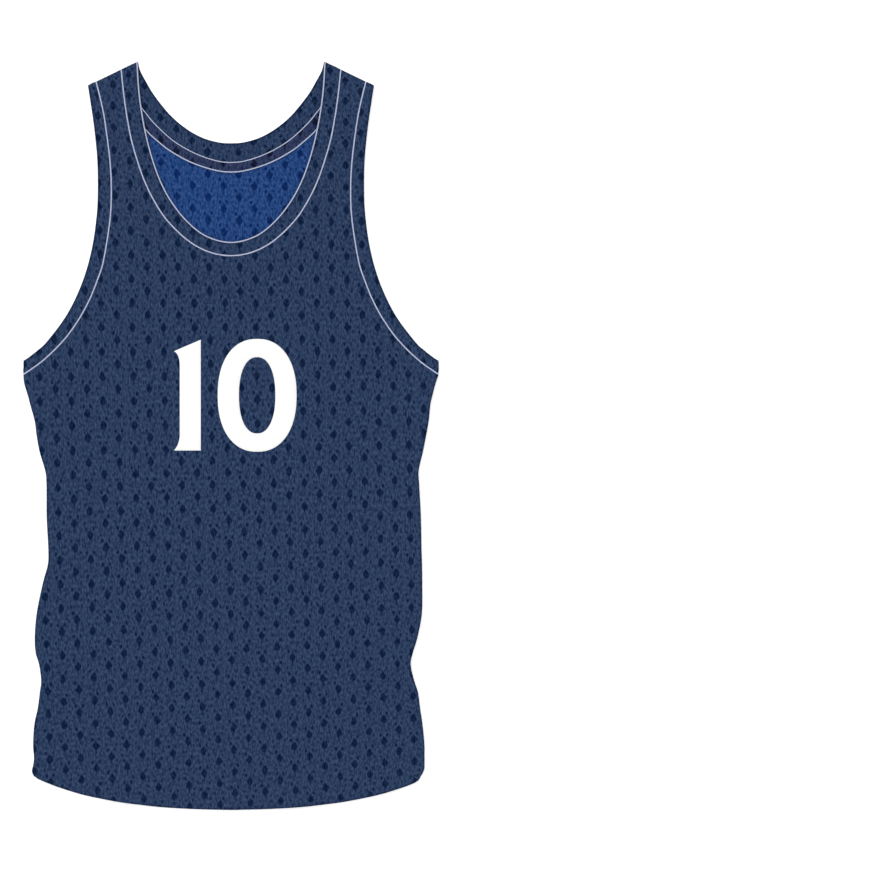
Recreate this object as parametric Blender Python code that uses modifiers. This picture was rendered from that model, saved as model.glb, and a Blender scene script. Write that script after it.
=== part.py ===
"""Training bib: a sleeveless mesh singlet laid flat, its front lying on its back.

Sizes are in millimetres and become metres when a mesh is written. The garment is drawn as a
maker measures it: "out" is the distance from the centre line, "down" is the distance below the
point where shoulder meets neck. X runs across, Y from hem to shoulder, Z is up.
"""
import math

import bmesh
import bpy

# ---- driving sizes (mm) ----
MM = 0.001
LENGTH = 746.5            # shoulder point to the lowest point of the hem
CHEST_HALF = 208.0        # centre line to the underarm point
WALL = 1.2                # knitted mesh, as a wall
TAPE_WALL = 1.0           # neck tape
SEAM_GAP = 0.3            # between pieces that are sewn to each other
LAY_GAP = 0.3             # between layers that lie on each other
SEAM_HALF = SEAM_GAP / 2
EDGE_TILT = 0.32          # share of the wall by which its cut edge leans at a folded seam

HEM_RISE = 31.3           # the hem's ends lie this far above its middle
HEM_HALF = 197.0
HEM_POWER = 2.23
HEM_CORNER = 9.0          # length of the rounded corner along the hem
HEM_CORNER_RISE = 2.2

SIDE_LOFT = 2.3           # the folded side edges stand a little fuller than the middle
SIDE_LOFT_REACH = 26.0
SHOULDER_LOFT = 2.0       # room under the straps for the neck tape
SHOULDER_LOFT_FULL = 60.0     # down
SHOULDER_LOFT_END = 125.0     # down
TAPE_END_INSET = 4.5      # tape stops this far from the shoulder fold

# Columns: down, out on the wearer's right, out on the wearer's left.
SIDE_ROWS = (
    (312.0, CHEST_HALF, CHEST_HALF),
    (327.5, 203.8, 203.0),
    (351.5, 198.0, 198.0),
    (387.5, 190.8, 191.5),
    (417.5, 184.6, 188.6),
    (453.5, 183.5, 189.3),
    (489.5, 182.5, 190.8),
    (519.5, 187.4, 191.6),
    (549.5, 193.8, 190.0),
    (579.5, 195.4, 184.6),
    (605.5, 190.0, 180.0),
    (621.5, 190.2, 184.2),
    (651.5, 194.8, 189.6),
    (681.5, 197.4, 192.8),
    (705.5, 197.4, 193.6),
    (713.2, 195.6, 190.6),
)

# Columns: out, down. Each runs from the shoulder.
ARMHOLE_EDGE = (
    (143.0, 23.5), (140.4, 39.5), (136.6, 66.0), (133.5, 99.5), (133.2, 135.5), (135.0, 159.5),
    (138.6, 183.5), (144.6, 207.5), (153.6, 231.5), (166.4, 255.5), (184.3, 279.5),
    (CHEST_HALF, 298.5),
)
ARMHOLE_SEAM = (
    (134.9, 19.7), (130.2, 37.5), (126.2, 57.5), (121.0, 97.5), (119.6, 127.5), (121.0, 157.5),
    (127.4, 197.5), (133.7, 217.5), (141.8, 237.5), (152.8, 257.5), (167.5, 277.5), (187.9, 297.5),
    (CHEST_HALF, 312.0),
)
FRONT_NECK_EDGE = (
    (93.0, 0.0), (92.5, 21.5), (90.9, 37.5), (87.8, 57.5), (83.6, 77.5), (78.1, 97.5),
    (70.8, 117.5), (60.3, 137.5), (44.7, 157.5), (25.0, 173.0), (0.0, 179.4),
)
FRONT_NECK_SEAM = (
    (109.6, 7.8), (108.2, 21.5), (106.3, 37.5), (103.3, 57.5), (99.3, 77.5), (93.6, 97.5),
    (86.6, 117.5), (77.0, 137.5), (63.7, 157.5), (43.0, 177.5), (22.0, 188.9), (0.0, 192.7),
)
BACK_NECK_EDGE = (
    (93.0, 0.0), (84.5, 19.5), (76.5, 32.8), (60.5, 52.5), (44.5, 66.0), (28.5, 74.9),
    (12.5, 79.5), (0.0, 80.4),
)
BACK_NECK_SEAM = (
    (95.6, 1.2), (92.6, 21.0), (88.4, 44.0), (76.5, 60.8), (60.5, 75.6), (44.5, 86.1),
    (28.5, 93.5), (12.5, 98.3), (0.0, 99.5),
)
TAPE_EDGE = (
    (106.0, 6.1), (102.0, 27.0), (95.5, 51.0), (84.5, 67.5), (60.5, 87.9), (44.5, 97.0),
    (28.5, 103.5), (12.5, 107.8), (0.0, 108.9),
)

# Soft creases of the front. Columns: x and down where it starts, x and down where it has
# faded away, height, half width.
CREASES = (
    (-186.0, 470.0, -96.0, 446.0, 2.6, 24.0),
    (-192.0, 606.0, -88.0, 588.0, 3.0, 22.0),
    (182.0, 606.0, 70.0, 580.0, 3.2, 22.0),
    (190.0, 430.0, 112.0, 462.0, 2.0, 24.0),
    (-204.0, 322.0, -112.0, 372.0, 2.2, 24.0),
    (204.0, 322.0, 104.0, 378.0, 2.4, 24.0),
    (-104.0, 742.0, -86.0, 640.0, 2.4, 26.0),
    (66.0, 746.0, 58.0, 628.0, 2.8, 28.0),
    (148.0, 736.0, 132.0, 668.0, 1.8, 22.0),
    (-14.0, 196.0, -10.0, 262.0, 1.6, 30.0),
)

# ---- how finely the walls are divided ----
ROLL_ANGLES = (40.0, 65.0, 90.0)      # degrees round a folded edge, after its seam
ARM_STEPS = 14                        # along an armhole, between its folded ends
SIDE_STEPS = 26                       # underarm to hem
FRONT_STRAP_STEPS = 8                 # shoulder to the turn of the neck
BACK_STRAP_STEPS = 4
FRONT_NECK_TURN = 58.0                # out, where the neck turns from strap to throat
BACK_NECK_TURN = 70.0
FRONT_RIM_TURN = 47.5                 # the same on the neck edge, square across the band
BACK_RIM_TURN = 60.0
THROAT_STEPS = 8
HEM_SPLIT = 80.0                      # x where the middle of a panel begins at the hem
FRONT_COLUMNS = 6
BACK_COLUMNS = 3
NECKBAND_COLUMNS = 2
DENSE = 60                            # samples per stretch when a curve is measured
SIDE_DENSE = 8                        # the same for the side edges, which have more rows
FINE_FADE = 40.0                      # armhole length over which the fold's columns spread out
CREASE_START = 1.6                    # half widths over which a crease's outer end rises
STEEPEST_SEAM = 0.9                   # limit of a folded seam's height over its radius
HEM_FLATTENING = 2                    # power by which rows take up the hem's curve

NAVY = (0.030, 0.052, 0.118, 1.0)
NAVY_BAND = (0.026, 0.046, 0.106, 1.0)
NAVY_TAPE = (0.028, 0.040, 0.094, 1.0)
ROUGHNESS = 0.82


# ---- curves ----
def spline(rows, per_stretch=DENSE):
    """A smooth curve through the rows, as closely spaced points."""
    first = tuple(2 * a - b for a, b in zip(rows[0], rows[1]))
    last = tuple(2 * a - b for a, b in zip(rows[-1], rows[-2]))
    knots = [first, *rows, last]
    points = []
    for before, start, end, after in zip(knots, knots[1:], knots[2:], knots[3:]):
        for step in range(per_stretch):
            t = step / per_stretch
            points.append(tuple(
                0.5 * (2 * b + (c - a) * t + (2 * a - 5 * b + 4 * c - d) * t ** 2
                       + (3 * b - a - 3 * c + d) * t ** 3)
                for a, b, c, d in zip(before, start, end, after)))
    points.append(tuple(rows[-1]))
    return points


def mirrored(rows):
    """The rows of a half, continued over the centre line so that the curve stays level there."""
    return [*rows, *((-out, down) for out, down in reversed(rows[:-1]))]


def lengths(points):
    """Distance along the curve at each of its points."""
    total = [0.0]
    for a, b in zip(points, points[1:]):
        total.append(total[-1] + math.dist(a, b))
    return total


def at_value(points, values, wanted):
    """The point where a value that grows along the curve reaches the wanted one."""
    for index in range(len(points) - 1):
        low, high = values[index], values[index + 1]
        if low <= wanted <= high and high > low:
            t = (wanted - low) / (high - low)
            return tuple(a + (b - a) * t for a, b in zip(points[index], points[index + 1]))
    return points[0] if wanted < values[0] else points[-1]


def distance_at(points, values, wanted):
    """Distance along the curve where the value first reaches the wanted one."""
    return at_value([(along,) for along in lengths(points)], values, wanted)[0]


def spaced(points, start, end, steps):
    """Points at equal distances along the curve, from one distance to another."""
    along = lengths(points)
    return [at_value(points, along, start + (end - start) * i / steps) for i in range(steps + 1)]


SIDE_CURVES = {column: spline([(row[0], row[column]) for row in SIDE_ROWS], SIDE_DENSE)
               for column in (1, 2)}


def side_out(x, down):
    """How far out the side edge is, on the side of x."""
    column = 1 if x < 0 else 2
    curve = SIDE_CURVES[column]
    return at_value(curve, [point[0] for point in curve], down)[1]


def hem_down(x):
    """How far down the hem is at x, with its corners rounded up to the side edges."""
    end = SIDE_ROWS[-1][1 if x < 0 else 2]
    corner = max(0.0, (abs(x) - end + HEM_CORNER) / HEM_CORNER)
    return (LENGTH - HEM_RISE * (abs(x) / HEM_HALF) ** HEM_POWER
            - HEM_CORNER_RISE * corner ** 2)


# ---- heights ----
def smooth_step(value, start, end):
    t = min(1.0, max(0.0, (value - start) / (end - start)))
    return t * t * (3 - 2 * t)


def side_inset(x, down):
    """Distance from the folded side edge."""
    return side_out(x, down) - abs(x)


def shoulder_inset(x, down):
    """Distance from the folded shoulder line."""
    neck_out, neck_down = FRONT_NECK_EDGE[0]
    arm_out, arm_down = ARMHOLE_EDGE[0]
    reach = math.dist((neck_out, neck_down), (arm_out, arm_down))
    return ((down - neck_down) * (arm_out - neck_out)
            - (abs(x) - neck_out) * (arm_down - neck_down)) / reach


def fold_inset(x, down):
    return min(side_inset(x, down), shoulder_inset(x, down))


def crease_height(x, down):
    """What the soft creases add at a point of the front."""
    height = 0.0
    for x0, down0, x1, down1, high, half_width in CREASES:
        run_x, run_down = x1 - x0, down1 - down0
        reach = math.hypot(run_x, run_down)
        along = ((x - x0) * run_x + (down - down0) * run_down) / reach
        across = ((x - x0) * run_down - (down - down0) * run_x) / reach
        fade = 1 - smooth_step(along, 0.0, reach)
        start = smooth_step(along, -CREASE_START * half_width, 0.0)
        height += high * fade * start * math.exp(-(across / half_width) ** 2)
    return height


def front_underside(x, down):
    """Height of the front's inner face above the floor, away from the folded edges."""
    side = SIDE_LOFT * math.exp(-(max(0.0, side_inset(x, down)) / SIDE_LOFT_REACH) ** 2)
    shoulder = SHOULDER_LOFT * (1 - smooth_step(down, SHOULDER_LOFT_FULL, SHOULDER_LOFT_END))
    return WALL + LAY_GAP + side + shoulder + crease_height(x, down)


def fold_radius(x, down):
    """Radius, at the middle of the wall, where the cloth turns round a folded edge."""
    return front_underside(x, down) / 2


def layer_middle(x, down, layer):
    """Height of the middle of the wall; layer is 1 for the front and -1 for the back."""
    radius = fold_radius(x, down)
    centre = WALL / 2 + radius
    turn = (radius + WALL / 2 - fold_inset(x, down)) / radius
    turn = min(1.0, max(0.0, turn))
    return centre + layer * radius * math.sqrt(1 - turn * turn)


def roll_insets(x, down):
    """Insets of the divisions round a folded edge, starting at its seam."""
    radius = fold_radius(x, down)
    seam_height = SEAM_HALF + WALL * EDGE_TILT
    seam_angle = math.degrees(math.asin(min(STEEPEST_SEAM, seam_height / radius)))
    return [radius + WALL / 2 - radius * math.cos(math.radians(angle))
            for angle in (seam_angle, *ROLL_ANGLES)]


# ---- stations that neighbouring pieces share ----
def fold_stations(points, inset_at):
    """The points of a curve that lie at the divisions of the fold it starts from."""
    insets = [inset_at(*point) for point in points]
    return [at_value(points, insets, inset) for inset in roll_insets(*points[0])]


def armhole_stations(rows):
    """Stations of the left half's armhole line, from shoulder to underarm."""
    points = spline([(-out, down) for out, down in rows])
    top = fold_stations(points, shoulder_inset)
    bottom = fold_stations(points[::-1], side_inset)[::-1]
    downs = [point[1] for point in points]
    start = distance_at(points, downs, top[-1][1])
    end = distance_at(points, downs, bottom[0][1])
    middle = spaced(points, start, end, ARM_STEPS)
    return [*top, *middle[1:-1], *bottom]


def neck_stations(rows, turn, strap_steps):
    """Stations of a neck line from the left shoulder to the right one."""
    points = spline([(-out, down) for out, down in mirrored(rows)])
    half = points[:len(points) // 2 + 1]
    top = fold_stations(half, shoulder_inset)
    start = distance_at(half, [point[1] for point in half], top[-1][1])
    turned = distance_at(half, [point[0] for point in half], -turn)
    centre = lengths(half)[-1]
    strap = spaced(half, start, turned, strap_steps)
    throat = spaced(half, turned, centre, THROAT_STEPS // 2)
    left = [*top, *strap[1:], *throat[1:]]
    right = [(-x, down) for x, down in reversed(left[:-1])]
    return [*left, *right]


def offset(points, distance):
    """The line moved sideways by a distance, to the left of its direction in x and down."""
    moved = []
    for index, (x, down) in enumerate(points):
        before = points[max(0, index - 1)]
        after = points[min(len(points) - 1, index + 1)]
        run = math.dist(before, after)
        moved.append((x - (after[1] - before[1]) / run * distance,
                      down + (after[0] - before[0]) / run * distance))
    return moved


def flipped(points):
    return [(-x, down) for x, down in points]


# ---- surfaces ----
def blend(a, b, t):
    return tuple(p + (q - p) * t for p, q in zip(a, b))


def column_shares(outer, inner, columns):
    """Shares across one row: fine round a folded side edge, even elsewhere."""
    width = math.dist(outer, inner)
    insets = roll_insets(*outer)
    folded = 1 - smooth_step(side_inset(*outer), insets[-1], insets[-1] + FINE_FADE)
    count = len(ROLL_ANGLES) + columns
    fine = [(inset - insets[0]) / width for inset in insets]
    fine += [fine[-1] + (1 - fine[-1]) * i / columns for i in range(1, columns + 1)]
    return [folded * fine[i] + (1 - folded) * i / count for i in range(count + 1)]


def side_block(outer, inner, columns):
    """Rows of points from the armhole and side line to the neck and middle line."""
    rows = []
    last = len(outer) - 1
    for index, (start, end) in enumerate(zip(outer, inner)):
        row = []
        for share in column_shares(start, end, columns):
            x, down = blend(start, end, share)
            hem_x, hem_flat = blend(outer[-1], inner[-1], share)
            down += (hem_down(hem_x) - hem_flat) * (index / last) ** HEM_FLATTENING
            row.append((x, down))
        rows.append(row)
    return rows


def middle_block(left, right, throat):
    """Rows of points between the two side blocks, from the neck line to the hem."""
    rows = []
    last = len(left) - 1
    for index, (start, end) in enumerate(zip(left, right)):
        t = index / last
        row = []
        for step, neck in enumerate(throat):
            share = step / (len(throat) - 1)
            x, down = blend(start, end, share)
            neck_x, neck_flat = blend(left[0], right[0], share)
            hem_x, hem_flat = blend(left[-1], right[-1], share)
            x += (neck[0] - neck_x) * (1 - t)
            down += (neck[1] - neck_flat) * (1 - t) + (hem_down(hem_x) - hem_flat) * t
            row.append((x, down))
        rows.append(row)
    return rows


def panel_blocks(neck, turn_index, columns):
    """The three blocks of a panel whose neck line has the given stations."""
    sides = []
    for side in (-1, 1):
        armhole = offset(ARMHOLE, -SEAM_HALF)
        armhole[-1] = (armhole[-1][0], armhole[-1][1] + SEAM_HALF)
        neck_line = offset(neck, SEAM_HALF)
        if side > 0:
            armhole = flipped(armhole)
            neck_line = neck_line[::-1]
        start = armhole[-1][1]
        corner_down = SIDE_ROWS[-1][0]
        edge = []
        for step in range(1, SIDE_STEPS + 1):
            down = start + (corner_down - start) * step / SIDE_STEPS
            x = side * side_out(side, down)
            edge.append((x - side * roll_insets(x, down)[0], down))
        edge[-1] = (edge[-1][0], hem_down(edge[-1][0]))
        outer = [*armhole, *edge]
        turned = neck_line[turn_index]
        foot_x = side * HEM_SPLIT
        foot = (foot_x, hem_down(foot_x))
        steps = len(outer) - 1 - turn_index
        inner = [*neck_line[:turn_index], *(blend(turned, foot, i / steps) for i in range(steps + 1))]
        sides.append((outer, inner))
    throat = offset(neck, SEAM_HALF)[turn_index:len(neck) - turn_index]
    left, right = (inner[turn_index:] for outer, inner in sides)
    return [side_block(*sides[0], columns), side_block(*sides[1], columns),
            middle_block(left, right, throat)]


def grid_faces(mesh, rows, height, closed=False, upward=True):
    """Adds the faces of a grid of points given as x, down and layer or height."""
    vertices = [[mesh.verts.new((x * MM, (LENGTH / 2 - down) * MM, height(x, down, *rest) * MM))
                 for x, down, *rest in row] for row in rows]
    pairs = list(zip(vertices, vertices[1:]))
    if closed:
        pairs.append((vertices[-1], vertices[0]))
    for upper, lower in pairs:
        for index in range(len(upper) - 1):
            face = [upper[index], lower[index], lower[index + 1], upper[index + 1]]
            mesh.faces.new(face if upward else face[::-1])


def cloth_object(name, mesh, thickness, colour):
    """A named wall: the open surface with its thickness given half to each side."""
    bmesh.ops.remove_doubles(mesh, verts=mesh.verts, dist=1e-6)
    data = bpy.data.meshes.new(name)
    mesh.to_mesh(data)
    mesh.free()
    data.shade_smooth()
    piece = bpy.data.objects.new(name, data)
    GARMENT.objects.link(piece)
    wall = piece.modifiers.new("wall", "SOLIDIFY")
    wall.thickness = thickness * MM
    wall.offset = 0.0
    material = bpy.data.materials.new(name)
    material.use_nodes = True
    shader = material.node_tree.nodes["Principled BSDF"]
    shader.inputs["Base Color"].default_value = colour
    shader.inputs["Roughness"].default_value = ROUGHNESS
    shader.inputs["Metallic"].default_value = 0.0
    data.materials.append(material)
    return piece


# ---- pieces ----
def make_panel(name, neck, layer, columns):
    """Front or back: three blocks of cloth from shoulders to hem."""
    mesh = bmesh.new()
    turn_index = (len(neck) - 1 - THROAT_STEPS) // 2
    left, right, middle = panel_blocks(neck, turn_index, columns)
    for rows, upward in ((left, True), (right, False), (middle, True)):
        grid_faces(mesh, rows, lambda x, down: layer_middle(x, down, layer), upward=upward)
    return cloth_object(name, mesh, WALL, NAVY)


def make_neckband(name, seam, edge, layer):
    """A band from its seam to the neck edge, shoulder to shoulder."""
    inner = offset(seam, -SEAM_HALF)
    rows = [[blend(a, b, i / NECKBAND_COLUMNS) for i in range(NECKBAND_COLUMNS + 1)]
            for a, b in zip(inner, edge)]
    mesh = bmesh.new()
    grid_faces(mesh, rows, lambda x, down: layer_middle(x, down, layer))
    return cloth_object(name, mesh, WALL, NAVY_BAND)


def make_neck_tape():
    """The strip inside the back neck, lying on the back panel beside the band's seam."""
    seam = spline([(-out, down) for out, down in mirrored(BACK_NECK_SEAM)])
    low = spline([(-out, down) for out, down in mirrored(TAPE_EDGE)])
    steps = 2 * FRONT_STRAP_STEPS + THROAT_STEPS
    lines = []
    for points in (low, offset(seam, SEAM_GAP)):
        insets = [shoulder_inset(*point) for point in points]
        start = distance_at(points, insets, TAPE_END_INSET)
        lines.append(spaced(points, start, lengths(points)[-1] - start, steps))
    rows = list(zip(*lines))
    level = WALL + LAY_GAP + TAPE_WALL / 2
    mesh = bmesh.new()
    grid_faces(mesh, rows, lambda x, down: level)
    return cloth_object("back_neck_tape", mesh, TAPE_WALL, NAVY_TAPE)


def make_armhole_band(name, side):
    """A ring of cloth round one armhole, folded flat at the shoulder and under the arm."""
    pairs = list(zip(offset(ARMHOLE, SEAM_HALF), ARMHOLE_RIM))
    ring = [(pair, 1) for pair in pairs] + [(pair, -1) for pair in reversed(pairs)]
    rows = [[(-side * x, down, layer) for x, down in pair] for pair, layer in ring]
    mesh = bmesh.new()
    grid_faces(mesh, rows, layer_middle, closed=True, upward=side > 0)
    return cloth_object(name, mesh, WALL, NAVY_BAND)


for old in list(bpy.data.objects):
    bpy.data.objects.remove(old)
GARMENT = bpy.data.collections.new("training_bib")
bpy.context.scene.collection.children.link(GARMENT)

ARMHOLE = armhole_stations(ARMHOLE_SEAM)
ARMHOLE_RIM = armhole_stations(ARMHOLE_EDGE)
FRONT_NECK = neck_stations(FRONT_NECK_SEAM, FRONT_NECK_TURN, FRONT_STRAP_STEPS)
FRONT_RIM = neck_stations(FRONT_NECK_EDGE, FRONT_RIM_TURN, FRONT_STRAP_STEPS)
BACK_NECK = neck_stations(BACK_NECK_SEAM, BACK_NECK_TURN, BACK_STRAP_STEPS)
BACK_RIM = neck_stations(BACK_NECK_EDGE, BACK_RIM_TURN, BACK_STRAP_STEPS)

make_panel("front_panel", FRONT_NECK, 1, FRONT_COLUMNS)
make_panel("back_panel", BACK_NECK, -1, BACK_COLUMNS)
make_neckband("front_neckband", FRONT_NECK, FRONT_RIM, 1)
make_neckband("back_neckband", BACK_NECK, BACK_RIM, -1)
make_neck_tape()
make_armhole_band("armhole_band_left", 1)
make_armhole_band("armhole_band_right", -1)
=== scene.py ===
# Training bib laid flat: fine cloth shells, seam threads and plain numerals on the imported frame.
# Sizes are millimetres. "Out" runs from the centre line, "down" from the shoulder point,
# and x grows towards the wearer's left. Layer 1 is the front, layer -1 the back.
import math
from functools import partial

import bmesh
import bpy
import numpy as np
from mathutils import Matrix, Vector
from mathutils.geometry import delaunay_2d_cdt
from mathutils.kdtree import KDTree


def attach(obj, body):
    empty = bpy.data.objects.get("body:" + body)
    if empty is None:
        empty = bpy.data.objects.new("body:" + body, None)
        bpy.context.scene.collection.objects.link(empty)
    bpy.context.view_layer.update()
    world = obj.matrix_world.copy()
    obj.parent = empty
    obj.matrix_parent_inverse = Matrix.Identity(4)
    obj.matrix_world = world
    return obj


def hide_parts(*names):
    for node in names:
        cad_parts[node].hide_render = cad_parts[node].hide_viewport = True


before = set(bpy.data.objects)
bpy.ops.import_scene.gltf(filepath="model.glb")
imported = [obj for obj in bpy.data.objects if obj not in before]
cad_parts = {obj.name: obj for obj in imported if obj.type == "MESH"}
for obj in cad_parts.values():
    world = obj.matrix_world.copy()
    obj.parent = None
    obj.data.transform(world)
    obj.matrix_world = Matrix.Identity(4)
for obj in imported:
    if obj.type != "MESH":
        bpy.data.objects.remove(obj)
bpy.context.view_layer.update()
mm = 0.001
print("frame:", len(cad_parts), "nodes")

cloth = {
    "length": 746.5,         # shoulder point to the lowest point of the hem
    "wall": 1.2,
    "layGap": 0.3,           # between the two layers where they lie on each other
    "seamGap": 0.1,          # between two rounded edges that are sewn together
    "floorGap": 0.15,        # room under the back for its threads and numerals
    "edgeStep": 2.0,         # spacing of points along an edge
    "hemSamples": 400,       # points on the hem's curve before they are spaced out
    "sideStop": 0.4,         # a folded side ends this far above its last row
    "foldClear": 0.8,        # kept free between the points of a fold and a sewn edge
    "clearShare": 0.6,       # share of the knit's point spacing that is kept free round an edge
    "turnedReach": 2.8,      # painted shade darkens the cloth this close to a turned or folded edge of the garment
    "leastWidth": 10.0,      # a strip is cut no narrower
    "foldAngles": (34, 48, 63, 78, 90),       # degrees round a folded edge, for a panel
    "bandAngles": (0, 15, 30, 45, 60, 75, 90),    # the same for a band that runs on round it
    "leastTurn": 8,          # degrees from a neckband's end to the next row round the fold
}
halfWall = cloth["wall"] / 2
edgeInset = halfWall + cloth["seamGap"] / 2

outline = {
    # down, out on the wearer's right, out on the wearer's left
    "sides": (
        (312.0, 207.5, 207.5), (320.5, 206.7, 204.5), (333.5, 202.8, 201.2), (341.5, 200.8, 199.4),
        (357.5, 196.4, 197.8), (373.5, 194.2, 195.0), (389.5, 191.2, 191.8), (407.5, 185.8, 187.7),
        (421.5, 184.5, 188.2), (453.5, 184.3, 189.9), (485.5, 182.7, 190.6), (501.5, 183.2, 191.1),
        (519.5, 188.0, 191.3), (549.5, 194.2, 191.0), (573.5, 196.2, 186.7), (589.5, 195.3, 181.9),
        (601.5, 191.8, 179.7), (617.5, 189.8, 183.2), (629.5, 191.2, 187.1), (645.5, 193.3, 189.2),
        (661.5, 196.7, 191.6), (681.5, 197.9, 193.5), (693.5, 197.0, 193.5), (701.5, 197.7, 193.6),
        (705.5, 198.8, 193.4), (709.5, 198.8, 191.9), (713.2, 196.9, 189.6),
    ),
    # out, down
    "hem": (
        (0.0, 746.8), (30.5, 746.1), (50.5, 745.2), (70.5, 743.9), (90.5, 741.7), (110.5, 739.1),
        (130.5, 735.4), (150.5, 730.9), (170.5, 724.7), (180.5, 721.0), (190.5, 716.8), (198.5, 713.0),
    ),
    "hemCorner": (4.0, 8.0),    # length of each rounded corner along the hem
    "hemCornerRise": 2.0,
    # the rest are the same, from the shoulder
    "armholeEdge": (
        (143.0, 22.6), (140.4, 39.5), (136.6, 66.0), (133.5, 99.5), (133.2, 135.5), (135.0, 159.5),
        (138.6, 183.5), (144.6, 207.5), (153.6, 231.5), (166.4, 255.5), (184.6, 279.4), (193.5, 287.6),
        (200.7, 293.3), (205.2, 296.5), (208.0, 297.8),
    ),
    "armholeSeam": (
        (134.9, 18.6), (130.2, 37.5), (126.2, 57.5), (121.0, 97.5), (119.6, 127.5), (121.0, 157.5),
        (127.4, 197.5), (133.7, 217.5), (141.8, 237.5), (152.8, 257.5), (167.5, 277.5),
        (187.9, 297.5), (208.0, 312.0),
    ),
    "frontNeckEdge": (
        (93.8, -1.1), (92.5, 21.5), (90.9, 37.5), (87.8, 57.5), (83.6, 77.5), (78.1, 97.5),
        (70.8, 117.5), (60.3, 137.5), (44.7, 157.5), (25.0, 173.0), (0.0, 179.4),
    ),
    "frontNeckSeam": (
        (109.6, 6.5), (108.2, 21.5), (106.3, 37.5), (103.3, 57.5), (99.3, 77.5), (93.6, 97.5),
        (86.6, 117.5), (77.0, 137.5), (63.7, 157.5), (43.0, 177.5), (22.0, 188.9), (0.0, 192.7),
    ),
    "backNeckEdge": (
        (93.0, -1.5), (90.8, 7.6), (84.7, 19.2), (76.5, 32.8), (60.5, 52.5), (44.5, 66.0), (28.5, 74.9),
        (12.5, 79.5), (0.0, 80.4),
    ),
    "backNeckSeam": (
        (95.3, -0.4), (92.6, 21.0), (90.2, 41.8), (88.6, 45.8), (85.5, 49.6), (76.5, 60.6),
        (60.5, 75.6), (44.5, 86.1), (28.5, 93.5), (12.5, 98.3), (0.0, 99.5),
    ),
    "tapeEdge": (
        (106.4, 5.0), (102.4, 27.2), (95.9, 51.3), (84.8, 67.8), (70.8, 80.7), (60.8, 88.3), (44.7, 97.5),
        (28.6, 104.0), (12.5, 108.3), (0.0, 109.4),
    ),
}

lie = {
    "sideLoft": 2.3,         # the folded sides stand a little fuller than the middle
    "sideLoftReach": 26.0,
    "shoulderLoft": 2.0,     # room for the neck tape under the straps
    "shoulderLoftDown": (60.0, 125.0),
    # start x and down, end x and down, height, half width
    "creases": (
        (-186.0, 470.0, -96.0, 446.0, 2.6, 24.0),
        (-192.0, 606.0, -88.0, 588.0, 3.0, 22.0),
        (182.0, 606.0, 70.0, 580.0, 3.2, 22.0),
        (190.0, 430.0, 112.0, 462.0, 2.0, 24.0),
        (-204.0, 322.0, -112.0, 372.0, 2.2, 24.0),
        (204.0, 322.0, 104.0, 378.0, 2.4, 24.0),
        (-104.0, 742.0, -86.0, 640.0, 2.4, 26.0),
        (66.0, 746.0, 58.0, 628.0, 2.8, 28.0),
        (148.0, 736.0, 132.0, 668.0, 1.8, 22.0),
        (-14.0, 196.0, -10.0, 262.0, 1.6, 30.0),
    ),
    "creaseStart": 1.6,      # half widths over which a crease's outer end rises
    # wave length, direction in degrees, shift in turns, height
    "ripples": (
        (97.0, 18.0, 0.10, 0.11),
        (71.0, -34.0, 0.45, 0.09),
        (58.0, 71.0, 0.80, 0.08),
        (41.0, -63.0, 0.30, 0.05),
        (33.0, 40.0, 0.65, 0.04),
    ),
    "puckerLength": 13.0,    # along a seam, from one small pucker to the next
    "puckerDrift": (1.7, 37.0),    # how far they wander, in radians, and over what length
    "puckerHeight": 0.10,
    "puckerReach": 6.0,
}

knit = {
    "columnStep": 15.43,     # between neighbouring columns of drops
    "columnStepLoss": 0.00043,    # per millimetre down
    "columnLean": 0.0157,    # the cloth's grain leans and bends a little
    "columnBend": 1.16e-5,
    "columnSpread": 4.34e-6,    # columns for each square millimetre out from the centre line
    "columnStart": (-146.55, 107.5),    # x and down of a drop's column
    "rowStep": 12.10,
    "rowLevel": 286.5,       # down, where the rows are furthest apart
    "rowShift": 0.82,        # rows from there to a row of drops
    "tightenAbove": 2.49e-6,
    "tightenBelow": 6.3e-7,
    "rowTilt": (-0.0044, -0.000126),    # at that level, and per millimetre down
    "rowBow": -1.5e-5,
    "dropHalfWidth": 3.3,
    "dropHeights": (5.3, 4.8),    # above and below its widest place
    "acrossPower": 1.45,
    "alongPowers": (1.15, 1.75),    # pointed above, blunt below
    "dropEdge": (-0.3, 0.8),    # where a drop's slope starts, and where it is deepest
    "dropDepth": 0.32,
}


# curves
def smoothCurve(rows, perStretch=40):
    # a smooth curve through the rows, closely sampled
    rows = np.asarray(rows, float)
    knots = np.vstack((2 * rows[0] - rows[1], rows, 2 * rows[-1] - rows[-2]))
    t = np.linspace(0, 1, perStretch, endpoint=False)[:, None]
    parts = []
    for before, start, end, after in zip(knots, knots[1:], knots[2:], knots[3:]):
        parts.append(0.5 * (2 * start + (end - before) * t
                            + (2 * before - 5 * start + 4 * end - after) * t ** 2
                            + (3 * start - before - 3 * end + after) * t ** 3))
    return np.vstack((*parts, rows[-1:]))


def armholeLine(name):
    # on the wearer's right, from shoulder to underarm
    return smoothCurve([(-out, down) for out, down in outline[name]])


def neckLine(name):
    # from the wearer's right shoulder to the left one
    half = [(-out, down) for out, down in outline[name]]
    return smoothCurve(half + [(-x, down) for x, down in reversed(half[:-1])])


def runLength(points):
    steps = np.linalg.norm(np.diff(points, axis=0), axis=1)
    return np.concatenate(([0.0], np.cumsum(steps)))


def pointsAt(points, along, wanted):
    return np.column_stack([np.interp(wanted, along, column) for column in points.T])


def respaced(points, step):
    along = runLength(points)
    count = max(1, round(along[-1] / step))
    return pointsAt(points, along, np.linspace(0, along[-1], count + 1))


def unit(vectors):
    return vectors / np.linalg.norm(vectors, axis=-1, keepdims=True)


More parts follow.
